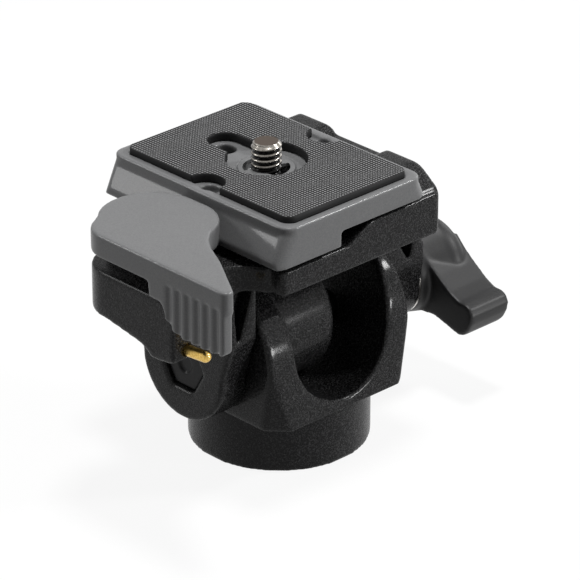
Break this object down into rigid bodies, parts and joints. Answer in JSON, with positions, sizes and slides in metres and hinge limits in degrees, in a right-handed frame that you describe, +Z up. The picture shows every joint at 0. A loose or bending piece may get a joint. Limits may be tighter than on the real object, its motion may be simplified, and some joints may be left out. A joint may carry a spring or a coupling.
{
  "type": "monopod tilt head",
  "caption": "Compact tilt head for a monopod: a forked base carries a tilting platform locked by a side lever, with a dovetail camera plate held by a spring-loaded swinging lever.",
  "frame": {"origin": "centre of the base collar's underside, on the base thread's axis", "axes": "+Z up along the monopod, +X along the tilt axis towards the tilt lock lever, -Y the front"},
  "size_m": [0.0964, 0.0625, 0.0674],
  "materials": {
    "cast_black": "fine speckled black powder coat on a die casting",
    "steel": "nickel-plated steel",
    "black_steel": "blackened steel",
    "bush_plastic": "plain bearing plastic",
    "disc_fibre": "friction lining",
    "grey_alloy": "satin mid-grey paint on a die casting",
    "mat_rubber": "fine-ribbed dark rubber",
    "brass": "bare brass",
    "black_plastic": "smooth satin black"
  },
  "bodies": {
    "base": {"yoke": "cast_black", "base_collar": "cast_black", "thread_insert": "steel", "bush_left": "bush_plastic", "bush_right": "bush_plastic"},
    "platform": {"platform": "cast_black", "pivot_bolt": "black_steel", "friction_disc_left": "disc_fibre", "friction_disc_right": "disc_fibre", "thrust_washer": "steel", "quick_plate": "grey_alloy", "plate_mat": "mat_rubber", "screw_retainer": "grey_alloy", "lever_spring": "steel", "safety_spring": "steel"},
    "lock_lever": {"lock_lever": "black_plastic", "lock_nut": "brass"},
    "release_lever": {"release_lever": "grey_alloy", "lever_pin": "steel", "lever_washer": "steel", "pin_nut": "black_steel"},
    "camera_screw": {"camera_screw": "steel"},
    "safety_catch": {"safety_pin": "brass"}
  },
  "joints": [
    {"name": "head_tilt", "type": "hinge", "parent": "base", "child": "platform", "pos_m": [0, 0, 0.0245], "axis": [1, 0, 0], "range_deg": [-90, 90]},
    {"name": "lock_lever_turn", "type": "hinge", "parent": "platform", "child": "lock_lever", "pos_m": [0.035, 0, 0.0245], "axis": [1, 0, 0], "range_deg": [0, 100]},
    {"name": "release_lever_swing", "type": "hinge", "parent": "platform", "child": "release_lever", "pos_m": [-0.03481, 0, 0.056], "axis": [0, 0, -1], "range_deg": [0, 75], "stiffness_Nm_per_rad": 0.08, "springref_deg": -28.65},
    {"name": "camera_screw_turn", "type": "hinge", "parent": "platform", "child": "camera_screw", "pos_m": [-0.00356, 0, 0.06], "axis": [0, 0, 1], "continuous": true},
    {"name": "safety_pin_press", "type": "slide", "parent": "platform", "child": "safety_catch", "axis": [-0.1392, 0.9903, 0], "range_m": [0, 0.0025], "stiffness_N_per_m": 400, "springref_m": -0.002}
  ]
}
